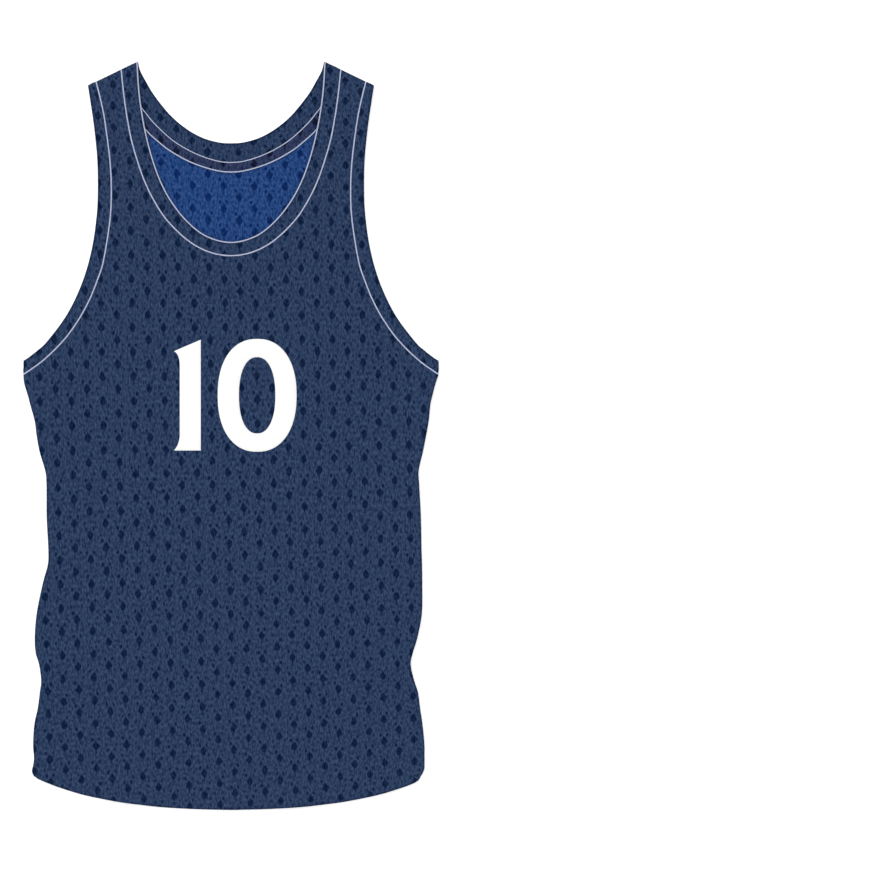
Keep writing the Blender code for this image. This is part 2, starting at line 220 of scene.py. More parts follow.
def direction(points, closed=False):
    # along a row of points
    if closed:
        return np.roll(points, -1, axis=0) - np.roll(points, 1, axis=0)
    return np.gradient(points, axis=0)


def offsetLine(points, distance):
    # moved sideways, to the left of its run in x and down
    run = unit(direction(points))
    return points + distance * np.column_stack((-run[:, 1], run[:, 0]))


def mirroredLine(points):
    return points * (-1, 1)


sideCurve = smoothCurve(outline["sides"], 8)
hemCurve = smoothCurve(outline["hem"], 8)


def sideOut(x, down):
    right = np.interp(down, sideCurve[:, 0], sideCurve[:, 1])
    left = np.interp(down, sideCurve[:, 0], sideCurve[:, 2])
    return np.where(x < 0, right, left)


def hemDown(x):
    end = np.where(x < 0, sideCurve[-1, 1], sideCurve[-1, 2])
    rounded = np.where(x < 0, *outline["hemCorner"])
    corner = np.maximum(0, (abs(x) - end + rounded) / rounded)
    return np.interp(abs(x), *hemCurve.T) - outline["hemCornerRise"] * corner ** 2


# heights
def smoothStep(value, start, end):
    t = np.clip((value - start) / (end - start), 0, 1)
    return t * t * (3 - 2 * t)


neckPoint = np.array(outline["frontNeckEdge"][0])
shoulderRun = np.array(outline["armholeEdge"][0]) - neckPoint
shoulderLength = math.hypot(*shoulderRun)
shoulderRun = shoulderRun / shoulderLength


def sideInset(x, down):
    return sideOut(x, down) - abs(x)


def shoulderInset(x, down):
    return ((down - neckPoint[1]) * shoulderRun[0]
            - (abs(x) - neckPoint[0]) * shoulderRun[1])


def outlineInset(x, down):
    return np.minimum(np.minimum(sideInset(x, down), shoulderInset(x, down)), hemDown(x) - down)


def creaseHeight(x, down):
    height = 0.0
    for x0, down0, x1, down1, high, halfWidth in lie["creases"]:
        reach = math.hypot(x1 - x0, down1 - down0)
        along = ((x - x0) * (x1 - x0) + (down - down0) * (down1 - down0)) / reach
        across = ((x - x0) * (down1 - down0) - (down - down0) * (x1 - x0)) / reach
        fade = 1 - smoothStep(along, 0.0, reach)
        start = smoothStep(along, -lie["creaseStart"] * halfWidth, 0.0)
        height = height + high * fade * start * np.exp(-(across / halfWidth) ** 2)
    return height


def rippleHeight(x, down):
    # faint unevenness of cloth that was smoothed out by hand, never below zero
    height = 0.0
    for wave, degrees, shift, high in lie["ripples"]:
        turn = math.radians(degrees)
        phase = (x * math.cos(turn) + down * math.sin(turn)) / wave + shift
        height = height + high * (1 + np.sin(2 * math.pi * phase))
    return height


def frontUnderside(x, down):
    side = np.exp(-(np.maximum(0, sideInset(x, down)) / lie["sideLoftReach"]) ** 2)
    shoulder = 1 - smoothStep(down, *lie["shoulderLoftDown"])
    return (cloth["wall"] + cloth["layGap"] + lie["sideLoft"] * side + lie["shoulderLoft"] * shoulder
            + creaseHeight(x, down) + rippleHeight(x, down))


def foldRadius(x, down):
    return frontUnderside(x, down) / 2


def foldInset(x, down, angle):
    # distance from the outline to the middle of the wall, at an angle in radians round the fold
    radius = foldRadius(x, down)
    return halfWall + radius * (1 - np.cos(angle))


def layerMiddle(x, down, layer):
    radius = foldRadius(x, down)
    inset = np.minimum(sideInset(x, down), shoulderInset(x, down))
    turn = np.clip((radius + halfWall - inset) / radius, 0, 1)
    return halfWall + radius + layer * radius * np.sqrt(1 - turn ** 2)


def layerNormal(x, down, layer):
    # out of the garment: up on the front, down on the back
    step = 0.01
    slopeX = layerMiddle(x + step, down, layer) - layerMiddle(x - step, down, layer)
    slopeDown = layerMiddle(x, down + step, layer) - layerMiddle(x, down - step, layer)
    return unit(np.column_stack((-slopeX, slopeDown, np.full(len(x), 2 * step))) * layer)


def placed(x, down, z):
    return np.stack((x, cloth["length"] / 2 - down, z), axis=-1)


# the knit
def knitPlace(x, down):
    # column and row of the knit at a point; a drop sits where both are whole and their sum is even
    level = down - knit["rowLevel"]
    level = level - (knit["rowTilt"][0] + knit["rowTilt"][1] * level) * x - knit["rowBow"] * x ** 2
    tighten = np.where(level < 0, knit["tightenAbove"], knit["tightenBelow"])
    row = (level + tighten * level ** 3 / 3) / knit["rowStep"] + knit["rowShift"]
    startX, startDown = knit["columnStart"]
    fall = down - startDown
    step = knit["columnStep"] - knit["columnStepLoss"] * fall
    grain = startX + knit["columnLean"] * fall + knit["columnBend"] * fall ** 2
    return (x - grain) / step + knit["columnSpread"] * x ** 2, row


def knitPoint(column, row, rounds=12):
    # the reverse, closed in on in a few rounds: x and down of a place in the knit
    x = knit["columnStart"][0] + column * knit["columnStep"]
    down = knit["rowLevel"] + row * knit["rowStep"]
    for turn in range(rounds):
        atColumn, atRow = knitPlace(x, down)
        x = x + (column - atColumn) * knit["columnStep"]
        down = down + (row - atRow) * knit["rowStep"]
    return np.column_stack((x, down))


def dropShape(x, down):
    # 1 in the middle of a drop, 0 outside
    column, row = knitPlace(x, down)
    first, second = (column + row) / 2, (column - row) / 2
    first, second = first - np.round(first), second - np.round(second)
    across = abs(first + second) * knit["columnStep"] / knit["dropHalfWidth"]
    along = (first - second) * knit["rowStep"]
    height = np.where(along < 0, *knit["dropHeights"])
    reach = across ** knit["acrossPower"] + (abs(along) / height) ** np.where(
        along < 0, *knit["alongPowers"])
    return smoothStep(1 - reach, *knit["dropEdge"])


# skins: one side of a piece, as points on the middle of its wall
def insideLoops(points, loops):
    inside = np.zeros(len(points), bool)
    x, down = points.T
    for loop in loops:
        for a, b in zip(loop, np.roll(loop, -1, axis=0)):
            if a[1] == b[1]:
                continue
            crosses = (a[1] > down) != (b[1] > down)
            inside ^= crosses & (x < (b[0] - a[0]) * (down - a[1]) / (b[1] - a[1]) + a[0])
    return inside


def nearest(points, others):
    # distance to the nearest of the others, and which one it is
    tree = KDTree(len(others))
    for index, (x, down) in enumerate(others):
        tree.insert((x, down, 0), index)
    tree.balance()
    found = [tree.find((x, down, 0)) for x, down in points]
    return np.array([hit[2] for hit in found]), np.array([hit[1] for hit in found], int)


def gridFaces(index, closed=False, wrapped=False):
    # faces over a grid of point numbers; closed joins its last row to the first one, and
    # wrapped its last column
    if closed:
        index = np.vstack((index, index[:1]))
    if wrapped:
        index = np.hstack((index, index[:, :1]))
    corners = (index[:-1, :-1], index[1:, :-1], index[1:, 1:], index[:-1, 1:])
    return np.stack(corners, axis=-1).reshape(-1, 4)


def knitPoints(loops, columnParts, rowParts):
    # staggered points on the knit's own lattice, over the loops' box
    columns, rows = knitPlace(*np.vstack(loops).T)
    across = np.arange(math.floor(columns.min()) * columnParts, math.ceil(columns.max()) * columnParts)
    along = np.arange(math.floor(rows.min()) * rowParts, math.ceil(rows.max()) * rowParts)
    column, row = (grid.ravel() for grid in np.meshgrid(across, along))
    return knitPoint(column / columnParts, (row + (column % 2) / 2) / rowParts)


def regionSkin(loops, extra, columnParts, rowParts, layer):
    # the area inside the loops, with extra points near its folds
    border = np.vstack(loops)
    fixed = np.vstack((border, extra)) if len(extra) else border
    points = knitPoints(loops, columnParts, rowParts)
    points = points[insideLoops(points, loops)]
    spacing = min(knit["columnStep"] / columnParts, knit["rowStep"] / rowParts)
    points = points[nearest(points, fixed)[0] > cloth["clearShare"] * spacing]
    plan = np.vstack((fixed, points)).astype(np.float32).astype(float)    # as it is triangulated
    edges, loopIndices, start = [], [], 0
    for loop in loops:
        indices = np.arange(start, start + len(loop))
        edges += np.column_stack((indices, np.roll(indices, -1))).tolist()
        loopIndices.append(indices)
        start += len(loop)
    found = delaunay_2d_cdt([Vector((x, -down)) for x, down in plan], edges, [], 0, 1e-6, True)
    if len(found[0]) != len(plan):
        raise ValueError("the edge of a piece crosses itself")
    faces = np.array(found[2])
    outside = (faces < len(border)).all(axis=1)      # only these can lie outside the loops
    rounded = [plan[indices] for indices in loopIndices]
    outside[outside] = ~insideLoops(plan[faces[outside]].mean(axis=1), rounded)
    x, down = plan.T
    return {
        "points": placed(x, down, layerMiddle(x, down, layer)),
        "normals": layerNormal(x, down, layer),
        "plan": plan,
        "inset": outlineInset(x, down),
        "faces": faces[~outside],
        "loops": loopIndices,
    }


def stripSkin(first, second, layers, columns, closed):
    # a strip between two lines with as many stations each
    share = np.linspace(0, 1, columns + 1)[None, :, None]
    plan = first[:, None] + (second - first)[:, None] * share
    x, down = plan[..., 0], plan[..., 1]
    points = placed(x, down, layerMiddle(x, down, layers[:, None]))
    normals = unit(np.cross(direction(points, closed), np.gradient(points, axis=1)))
    # a station in the middle of the front, or of the only layer, says which way is out
    count = len(first)
    middle = np.argmax(layers * count - abs(np.arange(count) - count / 4))
    normals *= layers[middle] * np.sign(normals[middle, columns // 2, 2])
    index = np.arange(count * (columns + 1)).reshape(count, -1)
    if closed:
        loops = [index[:, 0], index[:, -1]]
    else:
        loops = [np.concatenate((index[:, 0], index[-1, 1:], index[-2::-1, -1], index[0, -2:0:-1]))]
    share = np.broadcast_to(share[..., 0], index.shape)
    inset = np.linalg.norm(second - first, axis=1)[:, None] * (1 - share)
    return {
        "points": points.reshape(-1, 3),
        "normals": normals.reshape(-1, 3),
        "plan": plan.reshape(-1, 2),
        "inset": np.minimum(inset, outlineInset(x, down)).ravel(),
        "faces": gridFaces(index, closed),
        "loops": loops,
        "share": share.ravel(),
    }


def skinArea(skin):
    # in square metres, on the middle of the wall
    corners = skin["points"][skin["faces"]] * mm
    area = 0.0
    for second in range(1, corners.shape[1] - 1):
        sides = corners[:, second:second + 2] - corners[:, :1]
        area += np.linalg.norm(np.cross(sides[:, 0], sides[:, 1]), axis=1).sum() / 2
    return float(area)


def rimRows(skin, loop, half, angles):
    # a rounded edge: rows of points from the skin's outer side to its inner one
    points, normals = skin["points"][loop], skin["normals"][loop]
    out = unit(np.cross(direction(points, True), normals))
    corners = skin["points"][skin["faces"]]
    inward = np.zeros_like(skin["points"])
    np.add.at(inward, skin["faces"], corners.mean(axis=1, keepdims=True) - corners)
    out *= -np.sign((out * inward[loop]).sum(axis=1, keepdims=True))
    return [points + (normals * math.cos(turn) + out * math.sin(turn)) * half
            for turn in np.radians(angles)]


def addObject(name, data, location=(0, 0, 0)):
    thing = bpy.data.objects.new(name, data)
    thing.location = location
    bpy.context.scene.collection.objects.link(thing)
    return thing


def addPiece(name, points, faces, finishes, finishIndex, **uvLayers):
    # a smooth mesh piece in metres that rides on the frame's one body
    mesh = bpy.data.meshes.new(name)
    mesh.from_pydata((np.asarray(points) * mm).tolist(), [], faces)
    corners = np.empty(len(mesh.loops), int)
    mesh.loops.foreach_get("vertex_index", corners)
    for label, columns in uvLayers.items():
        layer = mesh.uv_layers.new(name=label)
        values = np.column_stack(columns)[corners]
        layer.data.foreach_set("uv", values.astype(np.float32).ravel())
    for finish in finishes:
        mesh.materials.append(finish)
    mesh.polygons.foreach_set("material_index", finishIndex)
    work = bmesh.new()
    work.from_mesh(mesh)
    bmesh.ops.recalc_face_normals(work, faces=work.faces)
    work.to_mesh(mesh)
    work.free()
    mesh.shade_smooth()
    piece = addObject(name, mesh)
    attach(piece, "root")
    return piece


def sewShell(name, outer, inner, finishes, rimAngles=(30, 60, 90, 120, 150)):
    # outer and inner skins share their loops; "lift" is how far each stands off the wall's middle
    blocks = [outer["points"] + outer["normals"] * outer["lift"][:, None],
              inner["points"] - inner["normals"] * inner["lift"][:, None]]
    insets = [outer["inset"], inner["inset"]]
    innerStart = len(blocks[0])
    start = innerStart + len(blocks[1])
    faces = np.concatenate((outer["faces"], inner["faces"] + innerStart)).tolist()
    finishIndex = [0] * len(outer["faces"]) + [len(finishes) - 1] * len(inner["faces"])
    for loop in outer["loops"]:
        rows = rimRows(outer, loop, outer.get("rimHalf", halfWall), rimAngles)
        blocks += rows
        insets += [outer["inset"][loop]] * len(rows)
        rim = start + np.arange(len(rows) * len(loop)).reshape(len(rows), -1)
        start += rim.size
        faces += gridFaces(np.vstack((loop, rim, loop + innerStart)), wrapped=True).tolist()
    finishIndex += [0] * (len(faces) - len(finishIndex))
    points, inset = np.vstack(blocks), np.concatenate(insets)
    return addPiece(name, points, faces, finishes, finishIndex,
                    knit=knitPlace(points[:, 0], cloth["length"] / 2 - points[:, 1]),
                    edge=(inset, np.zeros(len(inset))))


areas = {}


def sewPiece(name, node, outer, inner, finishes):
    # a shell that stands for a node of the frame
    piece = sewShell(name, outer, inner, finishes)
    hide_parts(node)
    areas[name] = skinArea(outer)
    print(name, len(piece.data.polygons), "faces")


def outerHalf(normals):
    # the underside stays clear of the floor
    return halfWall + cloth["floorGap"] * np.minimum(0, normals[:, 2])


# materials
def newNode(tree, kind, **settings):
    node = tree.nodes.new(kind)
    for name, value in settings.items():
        setattr(node, name, value)
    return node


def feed(tree, sockets, values):
    # a socket is linked and a plain value is set
    for socket, value in zip(sockets, values):
        if isinstance(value, bpy.types.NodeSocket):
            tree.links.new(value, socket)
        else:
            socket.default_value = value


def plug(tree, node, **inputs):
    # inputs by name, with spaces as underscores
    feed(tree, [node.inputs[name.replace("_", " ")] for name in inputs], inputs.values())
    return node.outputs


def calc(tree, operation, *values, clamp=False):
    node = newNode(tree, "ShaderNodeMath", operation=operation, use_clamp=clamp)
    feed(tree, node.inputs, values)
    return node.outputs[0]


def vectorCalc(tree, operation, *values):
    node = newNode(tree, "ShaderNodeVectorMath", operation=operation)
    feed(tree, node.inputs, values)
    return node.outputs["Value" if operation == "LENGTH" else "Vector"]


def ramp(tree, value, start, end, low=0.0, high=1.0):
    node = newNode(tree, "ShaderNodeMapRange", interpolation_type="SMOOTHSTEP")
    return plug(tree, node, Value=value, From_Min=start, From_Max=end, To_Min=low, To_Max=high)["Result"]


def noise(tree, place, scale, detail):
    # a value first, then a colour
    node = newNode(tree, "ShaderNodeTexNoise", noise_dimensions="3D")
    return plug(tree, node, Vector=place, Scale=scale, Detail=detail, Roughness=0.55)


def split(tree, vector):
    return plug(tree, newNode(tree, "ShaderNodeSeparateXYZ"), Vector=vector)[:]


def flatVector(tree, x, y):
    return plug(tree, newNode(tree, "ShaderNodeCombineXYZ"), X=x, Y=y)[0]


def blendColour(tree, factor, first, second):
    node = newNode(tree, "ShaderNodeMix", data_type="RGBA")
    feed(tree, (node.inputs[0], node.inputs[6], node.inputs[7]), (factor, first, second))
    return node.outputs[2]


def linear(colour):
    # from screen values 0 to 255
    parts = [value / 255 for value in colour]
    parts = [value / 12.92 if value <= 0.04045 else ((value + 0.055) / 1.055) ** 2.4 for value in parts]
    return (*parts, 1.0)


marks = {
    "wobbleScale": 0.22,     # of the noise that bends drops and specks, per millimetre
    "wobbleReach": 2.6,
    # two fine noises: how many to a millimetre across and down, and their detail
    "grains": ((0.72, 0.22, 0.0), (0.60, 0.32, 0.5)),
    "groundRange": (0.27, 0.73),
    "dropRange": (1.2, 0.7),    # a drop fades in between these, where 1 is its outline
    "dropUneven": 0.24,      # how much lighter a drop is on the lightest ground
    "halo": (1.0, 1.7, 4.5),    # a lighter ring round each drop: its start, crest and end
    "haloLight": 0.05,
    "speckRange": (1.45, 0.45),    # a speck fades in between these, where 1 is its outline
    "speckStrength": (0.9, 0.55),    # what chance adds, and what each speck has
    "cellShift": 51.3,       # from one set of random values to the next
    "speckDepth": 0.55,      # shares of the relief
    "dropDepth": 0.8,
    # right and down from the drop's middle, half width, half height, darkness
    "specks": (
        (-3.6, -6.8, 1.30, 2.0, 0.90),     # ears over the drop
        (3.3, -7.0, 1.30, 2.1, 0.82),
        (-5.5, 4.9, 1.10, 2.1, 0.32),      # flanks
        (5.4, 4.6, 1.10, 2.1, 0.55),
        (-10.3, -1.1, 1.15, 2.0, 0.55),    # between neighbouring drops
        (10.0, -0.9, 1.15, 2.0, 0.55),
        (-0.1, 6.6, 1.25, 3.2, 0.52),      # tail
        (5.0, -4.4, 0.90, 1.6, 0.25),
        (12.7, -0.3, 1.50, 1.1, 0.38),     # short dashes
        (-12.9, -0.6, 1.10, 1.1, 0.22),
    ),
}


def buildKnitGroup():
    # drops, charted specks and a fine streaky ground, on lattice coordinates
    group = bpy.data.node_groups.new("knitPattern", "ShaderNodeTree")
    newSocket = group.interface.new_socket
    newSocket(name="Lattice", in_out="INPUT", socket_type="NodeSocketVector")
    for label, value in (("Wobble", 0.9), ("Inset", 9.0)):
        newSocket(name=label, in_out="INPUT", socket_type="NodeSocketFloat").default_value = value
    for label in ("Drop", "Specks", "Ground", "Height", "Edge"):
        newSocket(name=label, in_out="OUTPUT", socket_type="NodeSocketFloat")
    given = newNode(group, "NodeGroupInput").outputs
    number = partial(calc, group)
    vector = partial(vectorCalc, group)

    # the place in a drop's cell, bent a little by a noise
    column, row, unused = split(group, given["Lattice"])
    first = number("MULTIPLY", number("ADD", column, row), 0.5)
    second = number("MULTIPLY", number("SUBTRACT", column, row), 0.5)
    firstWhole, secondWhole = number("ROUND", first), number("ROUND", second)
    first, second = number("SUBTRACT", first, firstWhole), number("SUBTRACT", second, secondWhole)
    local = flatVector(group, number("MULTIPLY", number("ADD", first, second), knit["columnStep"]),
                       number("MULTIPLY", number("SUBTRACT", first, second), knit["rowStep"]))
    spread = vector("MULTIPLY", given["Lattice"], (knit["columnStep"], knit["rowStep"], 0))
    wobble = noise(group, spread, marks["wobbleScale"], 1.0)[1]
    wobble = vector("SUBTRACT", wobble, (0.5, 0.5, 0.5))
    wobble = vector("MULTIPLY", wobble, (marks["wobbleReach"], marks["wobbleReach"], 0))
    scaled = newNode(group, "ShaderNodeVectorMath", operation="SCALE")
    wobble = plug(group, scaled, Vector=wobble, Scale=given["Wobble"])["Vector"]
    place = vector("ADD", local, wobble)

    # the drop, and the ground round it
    x, y, unused = split(group, place)
    below = number("GREATER_THAN", y, 0.0)
    height, power = (number("MULTIPLY_ADD", below, under - over, over)
                     for over, under in (knit["dropHeights"], knit["alongPowers"]))
    across = number("DIVIDE", number("ABSOLUTE", x), knit["dropHalfWidth"])
    along = number("POWER", number("DIVIDE", number("ABSOLUTE", y), height), power)
    reach = number("ADD", number("POWER", across, knit["acrossPower"]), along)
    grains = [noise(group, vector("MULTIPLY", spread, (*scale, 1)), 1.0, detail)[0]
              for *scale, detail in marks["grains"]]
    ground = number("ADD", *(number("MULTIPLY", grain, 0.5) for grain in grains))
    ground = ramp(group, ground, *marks["groundRange"])
    drop = ramp(group, reach, *marks["dropRange"])
    drop = number("MULTIPLY", drop, number("MULTIPLY_ADD", ground, -marks["dropUneven"], 1.0))
    haloStart, haloCrest, haloEnd = marks["halo"]
    halo = number("MULTIPLY", ramp(group, reach, haloStart, haloCrest),
                  ramp(group, reach, haloEnd, haloCrest))
    ground = number("MULTIPLY_ADD", halo, marks["haloLight"], ground, clamp=True)

    # specks, each of a strength that chance gives in each drop's cell
    cell = flatVector(group, firstWhole, secondWhole)
    chances = []
    for shift in (0.0, marks["cellShift"]):
        chance = newNode(group, "ShaderNodeTexWhiteNoise", noise_dimensions="3D")
        moved = vector("ADD", cell, (shift, shift, shift))
        chances += split(group, plug(group, chance, Vector=moved)["Color"])
    specks = None
    for index, (right, down, halfWidth, halfHeight, dark) in enumerate(marks["specks"]):
        away = vector("SUBTRACT", place, (right, down, 0))
        away = vector("MULTIPLY", away, (1 / halfWidth, 1 / halfHeight, 0))
        mask = ramp(group, vector("LENGTH", away), *marks["speckRange"], 0.0, dark)
        strength = number("MULTIPLY_ADD", chances[index % len(chances)], *marks["speckStrength"])
        mask = number("MULTIPLY", mask, strength)
        specks = mask if specks is None else number("MAXIMUM", specks, mask)
    specks = number("MINIMUM", specks, 1.0)

    height = number("MULTIPLY_ADD", specks, -marks["speckDepth"], ground)
    height = number("MULTIPLY_ADD", drop, -marks["dropDepth"], height)
    # painted shade along the garment's outline: 1 at the edge, fading to 0 at the reach
    edge = ramp(group, given["Inset"], cloth["turnedReach"], 0.0)
    plug(group, newNode(group, "NodeGroupOutput"),
         Drop=drop, Specks=specks, Ground=ground, Height=height, Edge=edge)
    return group


def newMaterial(name, **sockets):
    material = bpy.data.materials.new(name)
    material.use_nodes = True
    tree = material.node_tree
    shader = tree.nodes["Principled BSDF"]
    plug(tree, shader, **sockets)
    return material, tree, shader


def uvPlace(tree, label):
    return newNode(tree, "ShaderNodeUVMap", uv_map=label).outputs["UV"]


def placeKnit(tree, group, **inputs):
    node = newNode(tree, "ShaderNodeGroup", node_tree=group)
    return plug(tree, node, Lattice=uvPlace(tree, "knit"), **inputs)


def addSurface(tree, shader, height, relief, **sockets):
    # what varies over the surface, with a bump so many millimetres high
    bump = newNode(tree, "ShaderNodeBump")
    normal = plug(tree, bump, Height=height, Distance=relief * mm, Strength=1.0)[0]
    plug(tree, shader, Normal=normal, **sockets)


knitGroup = buildKnitGroup()

knitGloss = {
    "sheen": 0.05,
    "sheenRoughness": 0.45,
    "specular": 0.04,
    "roughness": (0.86, 0.70),    # on the darkest and on the lightest ground
    "relief": 0.22,          # millimetres
}


def knitMaterial(name, finish):
    light, shade, speck, drop = (linear(finish[mark]) for mark in ("light", "shade", "speck", "drop"))
    material, tree, shader = newMaterial(
        name, Sheen_Weight=knitGloss["sheen"], Sheen_Roughness=knitGloss["sheenRoughness"],
        Specular_IOR_Level=knitGloss["specular"], Sheen_Tint=light)
    inset = split(tree, uvPlace(tree, "edge"))[0]      # millimetres from the garment's outline
    pattern = placeKnit(tree, knitGroup, Wobble=finish["wobble"], Inset=inset)
    colour = blendColour(tree, pattern["Ground"], shade, light)
    colour = blendColour(tree, pattern["Specks"], colour, speck)
    colour = blendColour(tree, pattern["Drop"], colour, drop)
    # painted shade: cloth near the garment's outline is blended towards the drop colour
    turned = calc(tree, "MULTIPLY", pattern["Edge"], finish["turned"])
    colour = blendColour(tree, turned, colour, drop)
    roughness = ramp(tree, pattern["Ground"], 0.0, 1.0, *knitGloss["roughness"])
    addSurface(tree, shader, pattern["Height"], knitGloss["relief"],
               Base_Color=colour, Roughness=roughness)
    return material


outsideFinish = {
    "light": (54, 71, 101),
    "shade": (22, 40, 71),
    "speck": (6, 25, 57),
    "drop": (0, 20, 50),
    "wobble": 0.9,
    "turned": 0.55,          # how much darker the painted shade makes a turned edge
}
insideFinish = {
    "light": (47, 78, 132),
    "shade": (13, 46, 97),
    "speck": (1, 30, 82),
    "drop": (0, 27, 78),
    "wobble": 0.9,
    "turned": 0.0,
}
tapeFinish = {
    "light": (54, 64, 96),
    "shade": (26, 38, 70),
    "speck": (10, 20, 48),
    "drop": (3, 10, 34),
    "wobble": 1.2,
    "turned": 0.0,
}
outsideKnit = knitMaterial("navyMesh", outsideFinish)
insideKnit = knitMaterial("blueInside", insideFinish)
tapeCloth = knitMaterial("neckTape", tapeFinish)

threadFinish = {
    "light": (198, 203, 225),
    "shade": (158, 166, 196),
    "twist": 3.0,            # turns in one stitch
    "strands": 2,
    "roughness": 0.55,
    "sheen": 0.1,
    "specular": 0.35,
    "relief": 0.12,
}


def threadMaterial():
    # strands twist along the line: u counts stitches, v goes round
    material, tree, shader = newMaterial(
        "whiteThread", Roughness=threadFinish["roughness"], Sheen_Weight=threadFinish["sheen"],
        Specular_IOR_Level=threadFinish["specular"])
    stitch, turn, unused = split(tree, uvPlace(tree, "stitch"))
    turns = calc(tree, "MULTIPLY_ADD", stitch, threadFinish["twist"], turn)
    strand = calc(tree, "SINE", calc(tree, "MULTIPLY", turns, 2 * math.pi * threadFinish["strands"]))
    strand = calc(tree, "MULTIPLY_ADD", strand, 0.5, 0.5)
    colour = blendColour(tree, ramp(tree, strand, 0.0, 0.6),
                         linear(threadFinish["shade"]), linear(threadFinish["light"]))
    addSurface(tree, shader, strand, threadFinish["relief"], Base_Color=colour)
    return material


whiteThread = threadMaterial()

filmFinish = {
    "light": (242, 242, 240),
    "shade": (236, 237, 237),
    "wobble": 0.9,
    "specular": 0.3,
    "roughness": (0.5, 0.42),
    "relief": 0.03,
}


def filmMaterial():
    # heat-pressed film; the knit shows through it only as a trace
    material, tree, shader = newMaterial("whiteFilm", Specular_IOR_Level=filmFinish["specular"])
    pattern = placeKnit(tree, knitGroup, Wobble=filmFinish["wobble"])
    shade, light = linear(filmFinish["shade"]), linear(filmFinish["light"])
    colour = blendColour(tree, pattern["Ground"], shade, light)
    roughness = ramp(tree, pattern["Ground"], 0.0, 1.0, *filmFinish["roughness"])
    addSurface(tree, shader, pattern["Height"], filmFinish["relief"],
               Base_Color=colour, Roughness=roughness)
    return material


whiteFilm = filmMaterial()
print("materials:", len(bpy.data.materials))


# numerals: outlines first, because the cloth is pressed flat under them
numerals = {
    "oneTop": (0.0, 0.2),
    "flagTip": (-26.6, 11.6),
    "flagBend": (-21.0, 14.6),
    "stemTop": (-20.9, 26.0),
    "stemFoot": (-20.9, 95.5),
    "footBend": (-21.2, 105.0),
    "footTip": (-26.6, 110.8),
    "oneFoot": (0.0, 110.8),
    "zeroMiddle": (56.4, 55.7),
    "zeroHalf": (39.35, 56.3),
    "bowlHalf": (18.25, 38.2),
    "squareness": 2.25,      # 2 is an oval
    "fineness": (6, 4),      # points to each column and row of the knit
    "film": 0.14,
    "pressed": 0.3,          # share of the knit's relief left under the film
    "step": 1.5,
    "places": {
        # piece: layer, x and down of the top right corner of the one, size
        "frontNumber": (1, (-30.25, 276.65), 1.0),
        "backNumber": (-1, (-47.4, 212.8), 1.442),
    },
}


def bendThrough(start, bend, end, steps=8):
    start, bend, end = (np.array(point) for point in (start, bend, end))
    t = np.linspace(0, 1, steps)[:, None]
    return start * (1 - t) ** 2 + 2 * bend * t * (1 - t) + end * t ** 2


def roundBox(middle, half, power, steps=160):
    turn = np.linspace(0, 2 * math.pi, steps, endpoint=False)
    across = np.sign(np.cos(turn)) * abs(np.cos(turn)) ** (2 / power) * half[0]
    along = np.sign(np.sin(turn)) * abs(np.sin(turn)) ** (2 / power) * half[1]
    return np.column_stack((middle[0] + across, middle[1] + along))


def numeralLoops(name):
    # the one and the zero as loops of x and down
    layer, corner, size = numerals["places"][name]
    one = np.vstack((
        numerals["oneTop"],
        bendThrough(numerals["flagTip"], numerals["flagBend"], numerals["stemTop"]),
        bendThrough(numerals["stemFoot"], numerals["footBend"], numerals["footTip"]),
        numerals["oneFoot"]))
    zero = roundBox(numerals["zeroMiddle"], numerals["zeroHalf"], numerals["squareness"])
    bowl = roundBox(numerals["zeroMiddle"], numerals["bowlHalf"], numerals["squareness"])
    loops = []
    for loop in (one, zero, bowl):
        sides = [respaced(np.array(pair), numerals["step"])[:-1]
                 for pair in zip(loop, np.roll(loop, -1, axis=0))]
        loop = np.vstack(sides) * size + corner
        loops.append(loop if layer > 0 else mirroredLine(loop))
    return loops


numberLoops = {numerals["places"][name][0]: numeralLoops(name) for name in numerals["places"]}


# relief of the cloth's outer side
def seamPuckers(plan, seams):
    seams = [respaced(seam, cloth["edgeStep"]) for seam in seams]
    distance, index = nearest(plan, np.vstack(seams))
    station = np.concatenate([runLength(seam) for seam in seams])[index]
    drift, driftLength = lie["puckerDrift"]
    wave = np.sin(2 * math.pi * station / lie["puckerLength"] + drift * np.sin(station / driftLength))
    return lie["puckerHeight"] * wave * np.exp(-(distance / lie["puckerReach"]) ** 2)


def knitRelief(skin, layer):
    x, down = skin["plan"].T
    relief = -knit["dropDepth"] * dropShape(x, down)
    pressed = insideLoops(skin["plan"], numberLoops[layer])
    return np.where(pressed, relief * numerals["pressed"], relief)


# panels
panels = {
    "frontPanel": {
        "node": "front_panel",
        "layer": 1,
        "neck": "frontNeckSeam",
        "outer": (8, 5),         # points to each column and row of the knit
        "inner": (4, 3),
        "innerRelief": 0.0,      # share of the drops' depth that shows inside
    },
    "backPanel": {
        "node": "back_panel",
        "layer": -1,
        "neck": "backNeckSeam",
        "outer": (8, 5),
        "inner": (6, 4),
        "innerRelief": 0.6,
    },
}


def alongAt(line, insets, wanted):
    # how far along the line its inset first reaches the wanted one
    rising = insets[:np.argmax(insets) + 1]
    return np.interp(wanted, rising, runLength(line)[:len(rising)])


def seamFoldInset(line):
    # inset at which a panel's own edge ends, just short of the middle of the fold
    x, down = line[0]
    return foldInset(x, down, edgeInset / foldRadius(x, down))


def cutBack(line, startInset, endInset, wanted=None):
    # the line without its ends, up to where they reach the wanted inset or the fold's
    for insetAt in (startInset, endInset):
        along = runLength(line)
        start = alongAt(line, insetAt(*line.T), seamFoldInset(line) if wanted is None else wanted)
        line = np.vstack((pointsAt(line, along, [start]), line[along > start + 1e-6]))[::-1]
    return line


